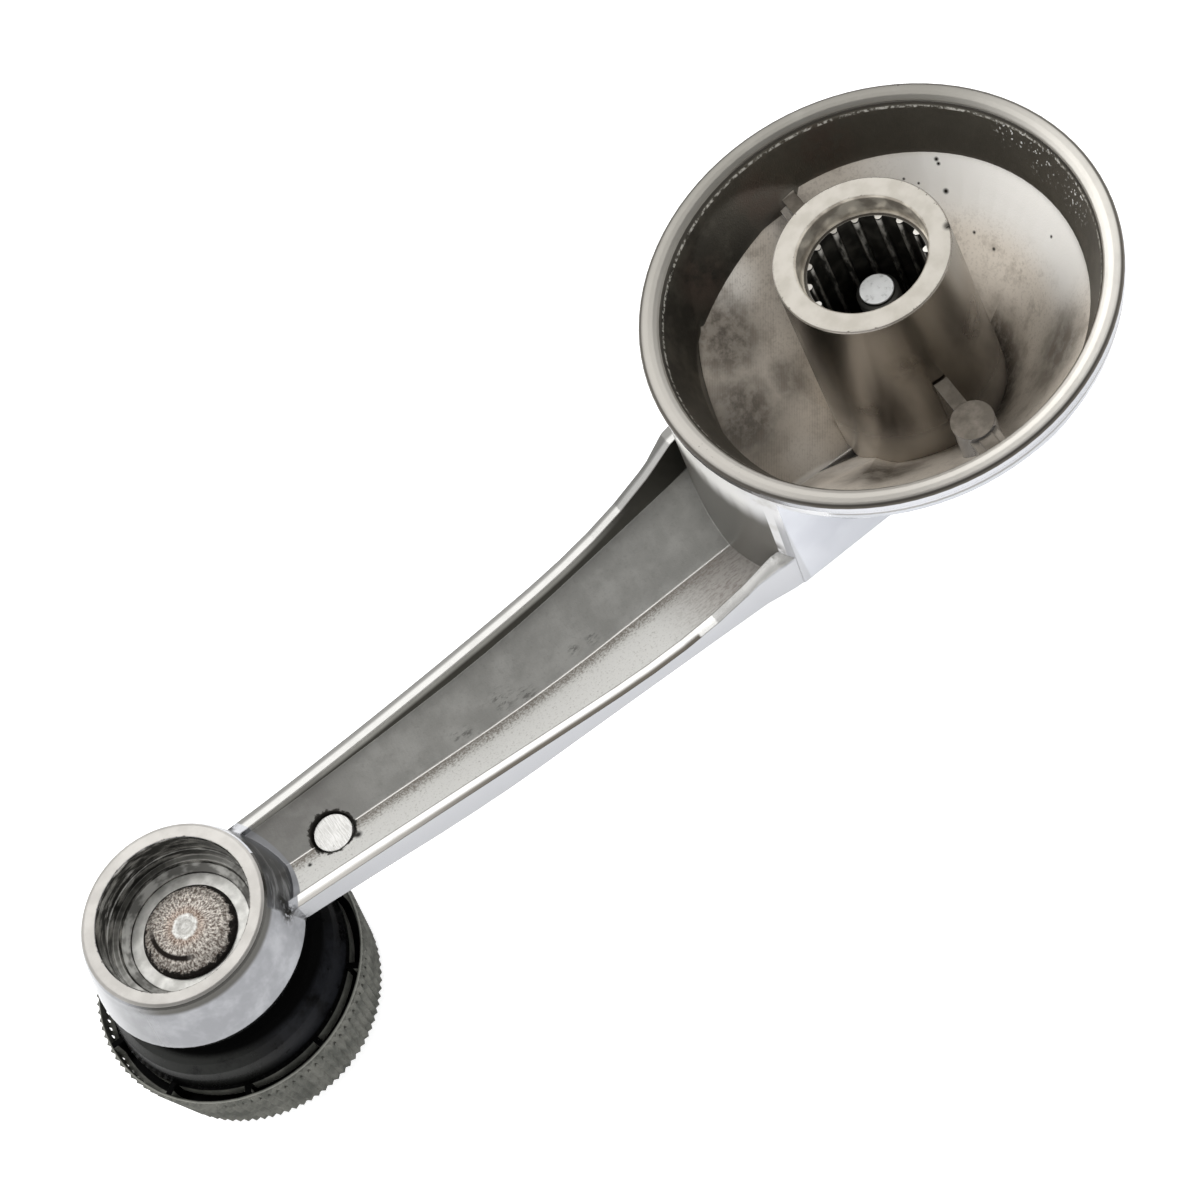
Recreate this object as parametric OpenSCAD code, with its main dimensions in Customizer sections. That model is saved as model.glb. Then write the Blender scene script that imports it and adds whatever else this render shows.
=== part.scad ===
// Window crank handle, lying with its hollow underside up and its knob down.
// Z runs along the hub bore and points out of the boss mouth (Z = 0 at the mouth face).
// X runs from the hub axis to the knob axis. All sizes are in millimetres.

/* [Hub] */
// outside diameter of the hub boss at its mouth
boss_diameter = 20; // [18:0.1:22]
// step between the smooth counterbore at the mouth and the seat of the splined bush
mouth_step = 0.22; // [0.1:0.01:0.4]
// diameter of the seat of the splined bush inside the boss
bush_seat_diameter = 14.3; // [14:0.02:14.5]
// growth of the boss radius from the mouth down to its root (moulding draft)
boss_draft = 0.4; // [0.1:0.05:0.6]
// how far the boss sleeve is sunk below the floor of the dish
sleeve_sink = 2.6; // [2.2:0.1:3]
// height of the spigot inside the foot of the sleeve
spigot_height = 2.2; // [1.6:0.1:3]
// height of the boss mouth above the edge of the cup rim
mouth_above_rim = 7.4; // [5:0.1:9]
// inside radius of the cup at the rim
cup_mouth_radius = 25.1; // [24.6:0.1:25.6]
// width of the rim lip
rim_width = 2.3; // [1.9:0.1:2.8]
// how far the cup wall closes in from the rim down to the dished floor
cup_draft = 2.6; // [2.2:0.1:3.2]
// height of the cup wall from the dished floor up to the rim
cup_wall_height = 6.6; // [6:0.1:7.2]
// radius of the flatter wall on both flanks of the cup, beside the arm
flank_radius = 38.6; // [34:0.2:44]
// how far that flatter wall stands inside the round one, at the edge of the dished floor
flank_inset = 1.45; // [1.2:0.05:1.7]
// angle of the middle of each flank from the arm direction, in degrees
flank_angle = 71; // [64:1:78]
// depth of the dish from its edge down to the foot of the boss
dish_depth = 14; // [13:0.1:14.4]
// wall thickness of the dished shell, measured square to it
shell_wall = 2.4; // [2:0.1:3]
// thickness between the foot of the sleeve and the front face of the hub
front_wall = 3.2; // [3.1:0.1:4]
// how far the flat on the front of the hub reaches past the boss
front_margin = 1; // [0:0.1:2]

/* [Trough between cup and arm] */
// how much wider than the arm the block under the cup is, on each side
neck_margin = 1.2; // [0.8:0.1:1.6]
// slope of the two trough faces inside the cup, rise per millimetre of width
trough_slope = 1.09; // [1:0.01:1.3]
// depth of the trough crease under the hub axis, below the foot of the sleeve
trough_drop = 0.7; // [0.4:0.1:1]
// rise of the trough crease per millimetre towards the arm
trough_rise = 0.108; // [0.06:0.01:0.16]

/* [Rib] */
// thickness of the rib across the cup
rib_thickness = 1.75; // [1.2:0.05:2.4]
// angle of the rib from the arm direction, in degrees
rib_angle = 85.5; // [80:0.5:95]
// height of the top of the rib above the edge of the dished floor
rib_rise = 0.15; // [-0.35:0.1:0.65]
// radius of the round ejector pad on the rib
pad_radius = 2.5; // [2:0.1:3]
// distance of the pad from the edge of the dished floor
pad_inset = 5.4; // [5:0.1:6.4]

/* [Arm] */
// distance from the hub axis to the knob axis
crank_length = 103.7; // [98:0.1:110]
// half width of the arm at the knob ring
arm_half_at_ring = 6.9; // [6.2:0.1:7.6]
// half width of the arm where it reaches the cup
arm_half_at_hub = 11.2; // [10.6:0.1:11.7]
// how late the arm widens towards the hub, 1 is a straight taper
arm_taper_power = 1.3; // [1:0.05:1.8]
// width of the lip along each edge of the arm
lip_width = 1.5; // [1.1:0.05:1.9]
// height of the channel crease above the foot of the sleeve, along the level part of the arm
crease_rise = 0.6; // [0.3:0.1:1]
// slope of the channel faces, rise per millimetre of width
channel_slope = 0.28; // [0.2:0.01:0.34]
// thickness under the crease
arm_floor = 2.3; // [2:0.05:2.8]
// slope of the two faces under the level part of the arm, rise per millimetre of width
belly_slope = 0.475; // [0.4:0.01:0.5]
// slope of those two faces at the knob end of the arm
belly_slope_ring = 0.26; // [0.22:0.01:0.36]
// angle by which the arm bends up towards the knob
bend_angle = 8.2; // [7:0.1:9.5]
// distance from the knob axis to where the bend begins
bend_before_knob = 57.7; // [54:0.1:61]
// length of the bend along the arm
bend_length = 20; // [16:0.5:24]
// depth of the arm lips at the knob ring, below the face of the ring
lip_below_ring = 4.1; // [3.4:0.1:4.8]
// height of the arm lips above the crease at their lowest place
lip_height = 4.4; // [4:0.1:4.8]
// rise of the arm lips from their lowest place to the cup
lip_rise_hub = 3.7; // [2.4:0.1:4.2]
// distance from the knob axis of the lowest place of the lips
lip_low_before_knob = 55.7; // [52.7:0.1:58.7]
// how far the upright wall that closes the channel stands outside the rim, at the channel floor
channel_margin = 1; // [0.6:0.1:1.8]
// radius of the round stud set in the arm
stud_radius = 2.3; // [1.9:0.05:2.7]
// distance of the stud from the knob axis
stud_before_knob = 19.3; // [17.7:0.1:23.7]
// width of the open ring round the stud
stud_gap = 0.35; // [0.25:0.05:0.5]

/* [Knob ring] */
// depth of the face of the knob ring below the mouth face
ring_face_depth = 18; // [17.4:0.1:18.6]
// width of the flat lip of the knob ring
ring_lip_width = 1.7; // [1.4:0.05:1.9]
// how much wider the knob ring is near its foot than at its lip
ring_flare = 2.1; // [1.8:0.1:2.5]
// height of the knob ring
ring_height = 10; // [9.7:0.1:10.3]
// height of the widest place of the knob ring above its front face
ring_foot_rise = 2.6; // [2.1:0.1:2.9]
// depth of the ledge below the face of the ring
ledge_drop = 4.2; // [3.8:0.1:4.6]
// width of the ledge
ledge_width = 0.9; // [0.7:0.05:1.2]
// depth of the seat under the rivet washer, below the face of the ring
washer_seat_drop = 6.2; // [6.1:0.05:6.6]
// thickness of the rivet washer
washer_thickness = 0.8; // [0.6:0.05:1]
// how far the rivet washer reaches past the hammered head
washer_margin = 1.5; // [1.1:0.05:1.9]
// room between the rivet washer and the step above it
washer_room = 1.1; // [0.8:0.05:1.3]

/* [Splined bush] */
// number of splines
spline_count = 16; // [12:1:24]
// height of the splines
spline_height = 0.5; // [0.35:0.05:0.8]
// wall left outside the spline grooves
bush_wall = 0.35; // [0.25:0.05:0.45]
// width of one spline
spline_width = 0.8; // [0.6:0.05:1]
// angle of the first spline from the arm direction, in degrees
spline_turn = -2.2; // [-10:0.1:10]
// depth of the top of the splines below the mouth face
bush_top_depth = 2.9; // [2.4:0.1:3.6]
// length of the splined bush
bush_length = 22; // [18:0.5:24]

/* [Retaining screw] */
// thread diameter of the retaining screw
screw_diameter = 4.9; // [4.5:0.1:5]
// depth of the screw end below the mouth face
screw_end_depth = 7.2; // [6:0.1:9]
// length of the threaded part of the screw
thread_length = 16; // [12:0.5:19]
// spacing of the thread
thread_pitch = 0.8; // [0.8:0.1:1]
// how much wider than the thread the screw head is
screw_head_margin = 4.1; // [3.7:0.1:4.5]
// height of the screw head
screw_head_height = 2.4; // [2:0.1:2.8]

/* [Knob] */
// radius of the knurled rim at its upper edge
knob_radius = 16.8; // [16.6:0.1:17.4]
// how much narrower the knurled rim is at its lower edge
knob_taper = 1.55; // [0.9:0.05:2]
// height of the knob neck and shoulder above the upper edge of the rim
knob_shoulder = 5.7; // [5.2:0.1:6.2]
// height of the knurled rim
knob_rim_height = 9.9; // [9:0.1:10.6]
// gap between the knob ring and the knob
knob_gap = 0.8; // [0.7:0.05:1]
// how far the knob neck stands inside the knurled rim
knob_neck_inset = 6.4; // [5.8:0.1:7.2]
// number of ribs in the knurl
knurl_count = 96; // [72:4:112]
// height of the knurl ribs
knurl_height = 0.35; // [0.25:0.05:0.5]
// number of pockets under the rim
pocket_count = 10; // [8:1:12]
// how far the inner wall of the pockets stands inside the rim
pocket_inset = 2.2; // [2:0.05:2.5]
// radial width of the pockets
pocket_width = 1.5; // [1.3:0.05:1.6]
// thickness of the webs between the pockets
pocket_web = 0.7; // [0.5:0.05:1]

/* [Spindle and its washers] */
// radius of the spindle inside the knob
spindle_radius = 4; // [3.8:0.05:4.2]
// radius of the spindle where it is riveted in the ring
rivet_radius = 3; // [2.8:0.05:3.2]
// how far the hammered head of the spindle reaches past the shank
peen_margin = 2.7; // [2.3:0.05:3]
// height of the hammered head
peen_height = 1.75; // [1.4:0.05:2]
// how far the lower head of the spindle reaches past its shank
spindle_head_margin = 2.4; // [2:0.05:2.7]
// length of the spindle between the knob ring and its lower head
spindle_length = 13.3; // [13:0.1:13.6]
// thickness of the lower spindle head
spindle_head_height = 1.6; // [1.4:0.05:1.7]
// running clearance between spindle and knob sleeve
running_clearance = 0.05; // [0.03:0.01:0.09]
// wall of the sleeve moulded in the knob
sleeve_wall = 1.55; // [1.35:0.05:1.85]

/* [Hidden] */
$fn = 72;

rim_z = -mouth_above_rim;
boss_root_radius = boss_diameter/2 + boss_draft;
mouth_diameter = bush_seat_diameter + 2*mouth_step;
rim_outer_radius = cup_mouth_radius + rim_width;
dish_outer_radius = cup_mouth_radius - cup_draft;
dish_edge_depth = mouth_above_rim + cup_wall_height;
dish_root_depth = dish_edge_depth + dish_depth;
boss_length = dish_root_depth + sleeve_sink;
flank_distance = dish_outer_radius - flank_inset;
hub_front_depth = boss_length + front_wall;
hub_front_radius = boss_root_radius + front_margin;
neck_half_width = arm_half_at_hub + neck_margin;
trough_depth = boss_length + trough_drop;
rib_depth = dish_edge_depth - rib_rise;
rib_reach = dish_outer_radius + 3.5;
rib_foot = boss_length + 5.4;
pad_distance = dish_outer_radius - pad_inset;
crease_depth = boss_length - crease_rise;
bend_start = crank_length - bend_before_knob;
lip_depth_ring = ring_face_depth + lip_below_ring;
lip_depth_low = crease_depth - lip_height;
lip_depth_hub = lip_depth_low - lip_rise_hub;
lip_low_place = crank_length - lip_low_before_knob;
channel_end = rim_outer_radius + channel_margin;
arm_start_x = channel_end + 1.6;
stud_place = crank_length - stud_before_knob;
peen_radius = rivet_radius + peen_margin;
washer_radius = peen_radius + washer_margin;
ledge_radius = washer_radius + washer_room;
ring_mouth_radius = ledge_radius + ledge_width;
ring_lip_radius = ring_mouth_radius + ring_lip_width;
ring_foot_radius = ring_lip_radius + ring_flare;
ring_front_depth = ring_face_depth + ring_height;
ring_foot_depth = ring_front_depth - ring_foot_rise;
ledge_depth = ring_face_depth + ledge_drop;
washer_seat_depth = ring_face_depth + washer_seat_drop;
spline_tip_radius = bush_seat_diameter/2 - bush_wall - spline_height;
screw_head_diameter = screw_diameter + screw_head_margin;
knob_low_radius = knob_radius - knob_taper;
knob_neck_depth = ring_front_depth + knob_gap;
knob_neck_radius = knob_radius - knob_neck_inset;
knob_rim_depth = knob_neck_depth + knob_shoulder;
pocket_inner_radius = knob_radius - pocket_inset;
spindle_head_radius = spindle_radius + spindle_head_margin;
spindle_head_depth = ring_front_depth + spindle_length;
sleeve_radius = spindle_radius + running_clearance + sleeve_wall;
dish_slope = (dish_root_depth - dish_edge_depth)/(dish_outer_radius - boss_root_radius);
dish_angle = atan(dish_slope);
// the outer cone runs parallel to the dished floor
shell_dr = shell_wall*sin(dish_angle);
shell_dz = shell_wall*cos(dish_angle);
seat_z = -boss_length;
ring_x = crank_length;
ring_side_radius = ring_foot_radius;
arm_end_x = crank_length - ring_lip_radius + 1.5;
wall_foot_z = -hub_front_depth - 2;
wall_lean = (channel_end - rim_outer_radius + 0.4)/(crease_depth - mouth_above_rim - 1);
lip_step = 0.8;
// spread of the skirt below the rim band
skirt_spread = 0.42;
// the flattened flanks fade into the round wall by this much per millimetre of height
flank_spread = 0.7;
// inside, they run straight from the rim down to this level, where the dished floor meets them
flank_foot_z = -dish_edge_depth - 0.5;
flank_wall_spread = 0.62;
screw_hole_radius = screw_diameter/2 + 0.25;
lock_washer_thickness = 0.7;
screw_seat_z = -(hub_front_depth - lock_washer_thickness - screw_head_height);
peen_base_z = -(washer_seat_depth - washer_thickness);
cap_step_radius = 9;
cap_thickness = 1.3;
head_room_radius = spindle_head_radius + 0.9;
knob_front_z = -(knob_rim_depth + knob_rim_height);
// place and tilt of the easing faces in the cup
ease_x = boss_root_radius + 6.1;
ease_y = 7;
ease_z = -trough_depth + trough_rise*ease_x + trough_slope*ease_y - 0.4;
ease_angle = 65.6;
ease_tilt = 46.9;
knob_nose_z = knob_front_z - 1.5;
thrust_thickness = 0.4;
sleeve_foot_z = -(spindle_head_depth - thrust_thickness - 0.08);

function arm_t(x) = max(0, (arm_end_x - x)/(arm_end_x - arm_start_x));
function arm_half(x) = arm_half_at_ring + (arm_half_at_hub - arm_half_at_ring)*pow(arm_t(x), arm_taper_power);
function lip_z(x) = x > lip_low_place
    ? -lip_depth_low + (lip_depth_low - lip_depth_ring)
        *pow((x - lip_low_place)/(arm_end_x - lip_low_place), 1.3)
    : -lip_depth_low + (lip_depth_low - lip_depth_hub)
        *pow((lip_low_place - x)/(lip_low_place - channel_end), 2.4);

// outline of one half of the arm from ring to hub, moved in by a given width
function arm_side(inset, first, last, steps) = [for (i = [0:steps])
    let (x = first + (last - first)*i/steps) [x, arm_half(x) - inset]];
function mirrored(pts) = [for (i = [len(pts)-1:-1:0]) [pts[i][0], -pts[i][1]]];

// region above a V shaped floor that is level near the hub and bends up towards the knob
module above_vee(drop, slope_hub, slope_ring) {
    steps = 4;
    intersection_for (i = [0:steps]) {
        angle = bend_angle*i/steps;
        slope = slope_hub + (slope_ring - slope_hub)*i/steps;
        s = bend_start + bend_length*i/steps;
        z = -crease_depth - drop + bend_length*tan(bend_angle)/2*pow(i/steps, 2);
        translate([s, 0, z]) rotate([0, -angle, 0]) translate([-90, 0, 0])
            rotate([90, 0, 90]) linear_extrude(180)
                polygon([[0, 0], [40, 40*slope], [40, 70], [-40, 70], [-40, 40*slope]]);
    }
}

module arm_solid() {
    outer = concat(arm_side(0, arm_end_x, arm_start_x, 12), [
        [channel_end - 0.2, arm_half_at_hub*0.62 + neck_half_width*0.38],
        [channel_end - 2, arm_half_at_hub*0.25 + neck_half_width*0.75],
        [channel_end - 4, neck_half_width - 0.1], [2, neck_half_width]]);
    top = [for (i = [0:16]) let (x = channel_end - 6 + (arm_end_x - channel_end + 6)*i/16)
        [x, lip_z(max(x, channel_end - 2))]];
    intersection() {
        translate([0, 0, -60]) linear_extrude(60) polygon(concat(outer, mirrored(outer)));
        rotate([90, 0, 0]) translate([0, 0, -30]) linear_extrude(60)
            polygon(concat([[0, -60], [0, lip_z(channel_end - 2)]], top, [[arm_end_x, -60]]));
        above_vee(arm_floor, belly_slope, belly_slope_ring);
    }
}

// hollow of the arm, a shallow V between the two lips; its ends lie inside the neck and the ring
module arm_channel() {
    inner = concat(arm_side(lip_width, arm_end_x + 2, arm_start_x, 12),
        [[channel_end - 8.4, neck_half_width - lip_width]]);
    intersection() {
        translate([0, 0, -60]) linear_extrude(60) polygon(concat(inner, mirrored(inner)));
        above_vee(0, channel_slope, channel_slope);
    }
}

// cone round the hub axis or a flank axis: given radius at one level, spread per millimetre of height
module band(foot, top, radius, level, spread)
    translate([0, 0, foot]) cylinder(h = top - foot, r1 = radius + spread*(foot - level),
        r2 = radius + spread*(top - level), $fn = 120);

// inside of the big circle that flattens one flank
module flank(side, foot, top, grow, level, spread)
    rotate([0, 0, side*flank_angle]) translate([flank_distance - flank_radius, 0, 0])
        band(foot, top, flank_radius + grow, level, spread);

// outside of the hub: rim band, skirt with flattened flanks, dished front
module hub_outside() {
    edge = -dish_edge_depth - shell_dz;
    band_foot = rim_z - 2.9;
    edge_radius = dish_outer_radius + shell_dr;
    front_rise = (2.6*dish_slope - 0.8)/1.5;
    rotate_extrude($fn = 120) polygon(concat(
        [[0, band_foot + 0.3], [cup_mouth_radius - 2, band_foot + 0.3], [cup_mouth_radius, rim_z]],
        [for (a = [150:-30:0]) [cup_mouth_radius + 1.15 + 1.15*cos(a), rim_z + 0.4*sin(a)]],
        [[rim_outer_radius, rim_z - lip_step], [rim_outer_radius - 0.15, rim_z - lip_step - 0.15],
         [rim_outer_radius - 0.2, rim_z - 1.6], [rim_outer_radius - 0.5, band_foot], [0, band_foot]]));
    intersection() {
        band(-dish_root_depth + 0.5, band_foot + 0.2, edge_radius, edge, 1/dish_slope);
        band(-dish_root_depth, band_foot + 0.1, edge_radius, edge, skirt_spread);
        flank(-1, -dish_root_depth - 1, band_foot + 1, shell_dr, edge, flank_spread);
        flank(1, -dish_root_depth - 1, band_foot + 1, shell_dr, edge, flank_spread);
    }
    rotate_extrude($fn = 120) polygon([
        [0, -dish_root_depth - shell_dz + 0.8 + 2.15*front_rise],
        [boss_root_radius + shell_dr + 3.25, -dish_root_depth - shell_dz + 0.8 + 2.15*front_rise],
        [boss_root_radius + shell_dr + 1.1, -dish_root_depth - shell_dz + 0.8],
        [hub_front_radius + 0.9, -hub_front_depth + 1.1],
        [hub_front_radius, -hub_front_depth + 0.35],
        [hub_front_radius - 1.2, -hub_front_depth], [0, -hub_front_depth]]);
}

// upright wall between the arm and the rim of the cup, leaning in towards the rim
module upright_wall(top)
    translate([0, 0, wall_foot_z]) cylinder(h = top - wall_foot_z,
        r1 = channel_end + wall_lean*(-crease_depth - wall_foot_z),
        r2 = channel_end - wall_lean*(top + crease_depth), $fn = 120);

// block that joins the arm to the cup
module neck_block() {
    intersection() {
        upright_wall(rim_z - 1.0);
        translate([4, -neck_half_width, -60]) cube([channel_end + 12, 2*neck_half_width, 60]);
        above_vee(arm_floor, belly_slope, belly_slope_ring);
    }
}

// wall of the cup, round behind the hub and flatter on both flanks beside the arm
module cup_wall() {
    chamfer_z = rim_z - 0.5;
    wall_spread = (cup_mouth_radius - 0.3 - dish_outer_radius)/(chamfer_z + dish_edge_depth);
    intersection() {
        band(-40, -dish_edge_depth + 3, dish_outer_radius, -dish_edge_depth, 0);
        flank(-1, -42, -dish_edge_depth + 4, 0, -dish_edge_depth, 0);
        flank(1, -42, -dish_edge_depth + 4, 0, -dish_edge_depth, 0);
    }
    intersection() {
        band(-dish_edge_depth - 3, rim_z + 0.4, dish_outer_radius, -dish_edge_depth, wall_spread);
        flank(-1, -dish_edge_depth - 4, rim_z + 1, 0, flank_foot_z, flank_wall_spread);
        flank(1, -dish_edge_depth - 4, rim_z + 1, 0, flank_foot_z, flank_wall_spread);
    }
    band(chamfer_z - 1, 2, cup_mouth_radius, rim_z, 0.6);
}

// everything above the floor of the cup: dished behind the hub, a trough towards the arm
module above_floor() {
    intersection() {
        band(-dish_root_depth, 4, dish_outer_radius, -dish_edge_depth, 1/dish_slope);
        flank(-1, -dish_root_depth - 1, 5, 0, flank_foot_z - 0.1, 1/dish_slope);
        flank(1, -dish_root_depth - 1, 5, 0, flank_foot_z - 0.1, 1/dish_slope);
    }
    // two faces that meet in a crease on the arm side
    translate([0, 0, -trough_depth]) rotate([0, -atan(trough_rise), 0])
        rotate([90, 0, 90]) linear_extrude(cup_mouth_radius + 9)
            polygon([[0, 0], [24, 24*trough_slope], [24, 40], [-24, 40], [-24, 24*trough_slope]]);
    // face that eases the dish into the trough on each side
    for (side = [-1, 1]) intersection() {
        translate([ease_x, side*ease_y, ease_z]) rotate([0, 0, side*ease_angle]) rotate([0, -ease_tilt, 0])
            translate([-40, -40, 0]) cube([80, 80, 40]);
        translate([0, side > 0 ? 0.1 : -30, -40]) cube([30, 29.9, 45]);
    }
}

module cup_hollow()
    intersection() {
        cup_wall();
        above_floor();
    }

// rib across the cup, its ejector pad and the wider bit between pad and wall
module cup_rib()
    rotate([0, 0, rib_angle]) {
        translate([-rib_reach, -rib_thickness/2, -rib_foot])
            cube([2*rib_reach, rib_thickness, rib_foot - rib_depth]);
        translate([pad_distance, 0, -rib_foot]) cylinder(h = rib_foot - rib_depth + 0.35, r = pad_radius);
        translate([pad_distance, -1.7, -rib_foot])
            cube([rib_reach - pad_distance + 0.1, 3.4, rib_foot - rib_depth - 0.3]);
    }

module ring_outside() {
    translate([ring_x, 0, 0]) rotate_extrude($fn = 96) polygon([
        [0, -ring_face_depth - 3], [ring_mouth_radius, -ring_face_depth - 3],
        [ring_mouth_radius, -ring_face_depth],
        [ring_lip_radius - 0.25, -ring_face_depth],
        [ring_lip_radius + 0.08, -ring_face_depth - 0.12],
        [ring_lip_radius + 0.3, -ring_face_depth - 0.45],
        [ring_lip_radius + 0.42, -ring_face_depth - 0.9],
        [ring_lip_radius + 0.65, -ring_face_depth - 1.6],
        [ring_side_radius - 0.1, -ring_foot_depth + 0.5],
        [ring_side_radius, -ring_foot_depth],
        [ring_side_radius - 0.25, -ring_foot_depth - 0.9],
        [ring_side_radius - 0.9, -ring_foot_depth - 1.7],
        [ring_side_radius - 1.9, -ring_front_depth + 0.3],
        [ring_side_radius - 2.8, -ring_front_depth], [0, -ring_front_depth]]);
}

module ring_recess() {
    translate([ring_x, 0, 0]) {
        rotate_extrude($fn = 96) polygon([[0, 0], [ring_mouth_radius + 0.15, 0],
            [ring_mouth_radius + 0.15, -ring_face_depth + 0.01],
            [ring_mouth_radius, -ring_face_depth - 0.25],
            [ring_mouth_radius - 0.2, -ledge_depth], [ledge_radius, -ledge_depth],
            [ledge_radius - 0.15, -ledge_depth - 0.5], [washer_radius + 0.05, -ledge_depth - 1.0],
            [washer_radius + 0.05, -washer_seat_depth], [0, -washer_seat_depth]]);
        translate([0, 0, -40]) cylinder(h = 30, r = rivet_radius);
    }
}

module crank_casting() color([0.80, 0.81, 0.83]) {
    difference() {
        union() {
            hub_outside();
            neck_block();
            difference() {
                arm_solid();
                arm_channel();
            }
            ring_outside();
        }
        difference() {
            cup_hollow();
            cup_rib();
        }
        ring_recess();
        // seat of the boss sleeve round a short spigot
        translate([0, 0, seat_z]) difference() {
            cylinder(h = boss_length, r = boss_root_radius, $fn = 96);
            translate([0, 0, -1]) cylinder(h = spigot_height + 1, r = bush_seat_diameter/2 - 0.05);
        }
        // screw hole and head seat in the front of the hub
        translate([0, 0, -50]) cylinder(h = 40, r = screw_hole_radius);
        translate([0, 0, -50]) cylinder(h = 50 + screw_seat_z, r = screw_head_diameter/2 + 0.4);
        // hole of the arm stud
        translate([stud_place, 0, -50]) cylinder(h = 60, r = stud_radius);
        translate([stud_place, 0, stud_floor_z() - 0.9]) cylinder(h = 10, r = stud_radius + stud_gap);
    }
}

function stud_floor_z() = -crease_depth + (stud_place - bend_start - bend_length/2)*tan(bend_angle);

module boss_sleeve() color([0.72, 0.72, 0.74])
    rotate_extrude($fn = 96) polygon([
        [mouth_diameter/2 + 0.2, 0], [boss_diameter/2 - 0.15, 0], [boss_diameter/2, -0.15],
        [boss_root_radius - 0.01, -dish_root_depth + 0.3], [boss_root_radius - 0.01, seat_z],
        [bush_seat_diameter/2, seat_z], [bush_seat_diameter/2, -bush_top_depth],
        [mouth_diameter/2, -bush_top_depth], [mouth_diameter/2, -0.2]]);

module spline_bush() color([0.30, 0.29, 0.28]) {
    groove_radius = bush_seat_diameter/2 - bush_wall;
    tip = spline_tip_radius + spline_width/2;
    translate([0, 0, -bush_top_depth - bush_length]) linear_extrude(bush_length) difference() {
        circle(r = bush_seat_diameter/2 - 0.01, $fn = 96);
        difference() {
            circle(r = groove_radius, $fn = 96);
            for (i = [0:spline_count - 1]) rotate(i*360/spline_count + spline_turn)
                polygon(concat([[groove_radius + 0.15, spline_width/2 + 0.1],
                    [groove_radius - 0.2, spline_width/2]],
                    [for (a = [90:30:270]) [tip + spline_width/2*cos(a), spline_width/2*sin(a)]],
                    [[groove_radius - 0.2, -spline_width/2], [groove_radius + 0.15, -spline_width/2 - 0.1]]));
        }
    }
}

module retaining_screw() color([0.80, 0.80, 0.78]) {
    r = screw_diameter/2;
    core = r - 0.42;
    end_z = -screw_end_depth;
    turns = floor(thread_length/thread_pitch);
    head_top = screw_seat_z - lock_washer_thickness;
    // shank with a rolled thread shown as rounded rings
    rotate_extrude($fn = 48) polygon(concat(
        [[0, end_z], [core - 0.1, end_z], [core, end_z - 0.1]],
        [for (i = [0:turns - 1]) for (k = [0:2])
            [k == 1 ? r : core, end_z - 0.3 - thread_pitch*(i + 0.12 + k*0.38)]],
        [[core, end_z - thread_length - 0.5], [r - 0.1, end_z - thread_length - 1.0],
         [r - 0.1, head_top], [screw_head_diameter/2 - 0.3, head_top],
         [screw_head_diameter/2, head_top - 0.3],
         [screw_head_diameter/2, head_top - screw_head_height + 0.7],
         [screw_head_diameter/2 - 1.2, head_top - screw_head_height + 0.15],
         [1.6, head_top - screw_head_height], [1.6, head_top - 1.2], [0, head_top - 1.2]]));
}

module screw_lock_washer() color([0.55, 0.55, 0.54])
    difference() {
        translate([0, 0, screw_seat_z - lock_washer_thickness])
            cylinder(h = lock_washer_thickness, r = screw_head_diameter/2 - 0.35);
        translate([0, 0, screw_seat_z - 5]) cylinder(h = 10, r = screw_diameter/2 + 0.06);
        // split of the lock washer
        rotate([0, 0, 40]) translate([1, -0.3, screw_seat_z - 5]) rotate([20, 0, 0]) cube([8, 0.6, 20]);
    }

module arm_stud() color([0.85, 0.85, 0.83])
    intersection() {
        translate([stud_place, 0, -50]) cylinder(h = 50 + stud_floor_z() + 0.3, r = stud_radius);
        above_vee(arm_floor, belly_slope, belly_slope_ring);
    }

module rivet_washer() color([0.80, 0.80, 0.78])
    translate([ring_x, 0, -washer_seat_depth]) difference() {
        cylinder(h = washer_thickness, r = washer_radius, $fn = 96);
        translate([0, 0, -1]) cylinder(h = 4, r = rivet_radius + 0.1);
    }

module knob_spindle() color([0.50, 0.45, 0.41])
    translate([ring_x, 0, 0]) rotate_extrude($fn = 72) polygon(concat(
        [[0, peen_base_z + peen_height - 0.35], [0.7, peen_base_z + peen_height - 0.3],
         [1.2, peen_base_z + peen_height - 0.02]],
        [for (a = [75:-15:15]) [1.2 + (peen_radius - 1.2)*cos(a), peen_base_z + (peen_height)*sin(a)]],
        [[peen_radius, peen_base_z + 0.15], [peen_radius - 0.25, peen_base_z],
         [rivet_radius, peen_base_z], [rivet_radius, -ring_front_depth],
         [spindle_radius, -ring_front_depth], [spindle_radius, -spindle_head_depth],
         [spindle_head_radius - 0.2, -spindle_head_depth], [spindle_head_radius, -spindle_head_depth - 0.2],
         [spindle_head_radius, -spindle_head_depth - spindle_head_height + 0.4],
         [spindle_head_radius - 0.8, -spindle_head_depth - spindle_head_height],
         [0, -spindle_head_depth - spindle_head_height]]));

module wave_washer() color([0.62, 0.60, 0.56])
    translate([ring_x, 0, -ring_front_depth - 0.4]) difference() {
        cylinder(h = 0.4, r = spindle_radius + 3.2);
        translate([0, 0, -1]) cylinder(h = 3, r = spindle_radius + 0.08);
    }

module knob_sleeve() color([0.78, 0.68, 0.42])
    translate([ring_x, 0, 0]) rotate_extrude($fn = 72) polygon([
        [spindle_radius + running_clearance, -knob_neck_depth],
        [sleeve_radius, -knob_neck_depth], [sleeve_radius, -36],
        [sleeve_radius + 0.7, -36], [sleeve_radius + 0.7, -38], [sleeve_radius, -38],
        [sleeve_radius, sleeve_foot_z], [spindle_radius + running_clearance, sleeve_foot_z]]);

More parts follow.
